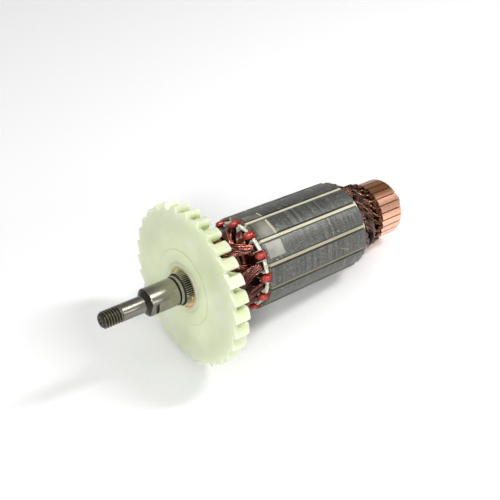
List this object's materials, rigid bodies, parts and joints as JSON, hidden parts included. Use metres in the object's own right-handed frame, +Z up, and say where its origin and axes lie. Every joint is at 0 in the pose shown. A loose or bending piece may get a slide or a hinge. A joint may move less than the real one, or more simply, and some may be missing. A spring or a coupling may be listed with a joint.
{
  "type": "motor armature",
  "caption": "Wound armature of a universal motor, lying on its side: stepped shaft, cooling fan with swept blades, slotted core with coils, and a hooked copper commutator",
  "frame": {"origin": "Middle of the bounding box's underside, on the surface the armature rests on", "axes": "+X runs along the armature from the screw thread to the commutator, +Y across it, +Z up. The shaft dips by about 10 degrees towards the commutator, because the fan's lowest teeth and the core's far edge touch the surface."},
  "size_m": [0.1416, 0.0598, 0.0594],
  "materials": {
    "shaft_steel": "ground and turned, oiled",
    "bush_steel": "turned, with yellow chromate",
    "fan_nylon": "moulded, slightly translucent",
    "core_steel": "stacked electrical sheet, ground round",
    "red_insulator": "moulded",
    "liner_paper": "smooth insulating paper",
    "wedge_fibre": "plain pressed fibre",
    "enamelled_copper": "enamelled copper wire, varnished",
    "black_moulding": "moulded resin",
    "bar_copper": "turned copper",
    "varnished_leads": "enamelled copper wire under dark varnish"
  },
  "bodies": {
    "root": {"shaft": "shaft_steel", "fan_bush": "bush_steel", "fan": "fan_nylon", "core": "core_steel", "front_insulator": "red_insulator", "rear_insulator": "red_insulator", "slot_liners": "liner_paper", "wedge_1": "wedge_fibre", "wedge_2": "wedge_fibre", "wedge_3": "wedge_fibre", "wedge_4": "wedge_fibre", "wedge_5": "wedge_fibre", "wedge_6": "wedge_fibre", "wedge_7": "wedge_fibre", "wedge_8": "wedge_fibre", "wedge_9": "wedge_fibre", "wedge_10": "wedge_fibre", "wedge_11": "wedge_fibre", "wedge_12": "wedge_fibre", "coil_1": "enamelled_copper", "coil_2": "enamelled_copper", "coil_3": "enamelled_copper", "coil_4": "enamelled_copper", "coil_5": "enamelled_copper", "coil_6": "enamelled_copper", "coil_7": "enamelled_copper", "coil_8": "enamelled_copper", "coil_9": "enamelled_copper", "coil_10": "enamelled_copper", "coil_11": "enamelled_copper", "coil_12": "enamelled_copper", "commutator_moulding": "black_moulding", "bar_1": "bar_copper", "bar_2": "bar_copper", "bar_3": "bar_copper", "bar_4": "bar_copper", "bar_5": "bar_copper", "bar_6": "bar_copper", "bar_7": "bar_copper", "bar_8": "bar_copper", "bar_9": "bar_copper", "bar_10": "bar_copper", "bar_11": "bar_copper", "bar_12": "bar_copper", "bar_13": "bar_copper", "bar_14": "bar_copper", "bar_15": "bar_copper", "bar_16": "bar_copper", "bar_17": "bar_copper", "bar_18": "bar_copper", "bar_19": "bar_copper", "bar_20": "bar_copper", "bar_21": "bar_copper", "bar_22": "bar_copper", "bar_23": "bar_copper", "bar_24": "bar_copper", "coil_leads": "varnished_leads"}
  },
  "joints": []
}
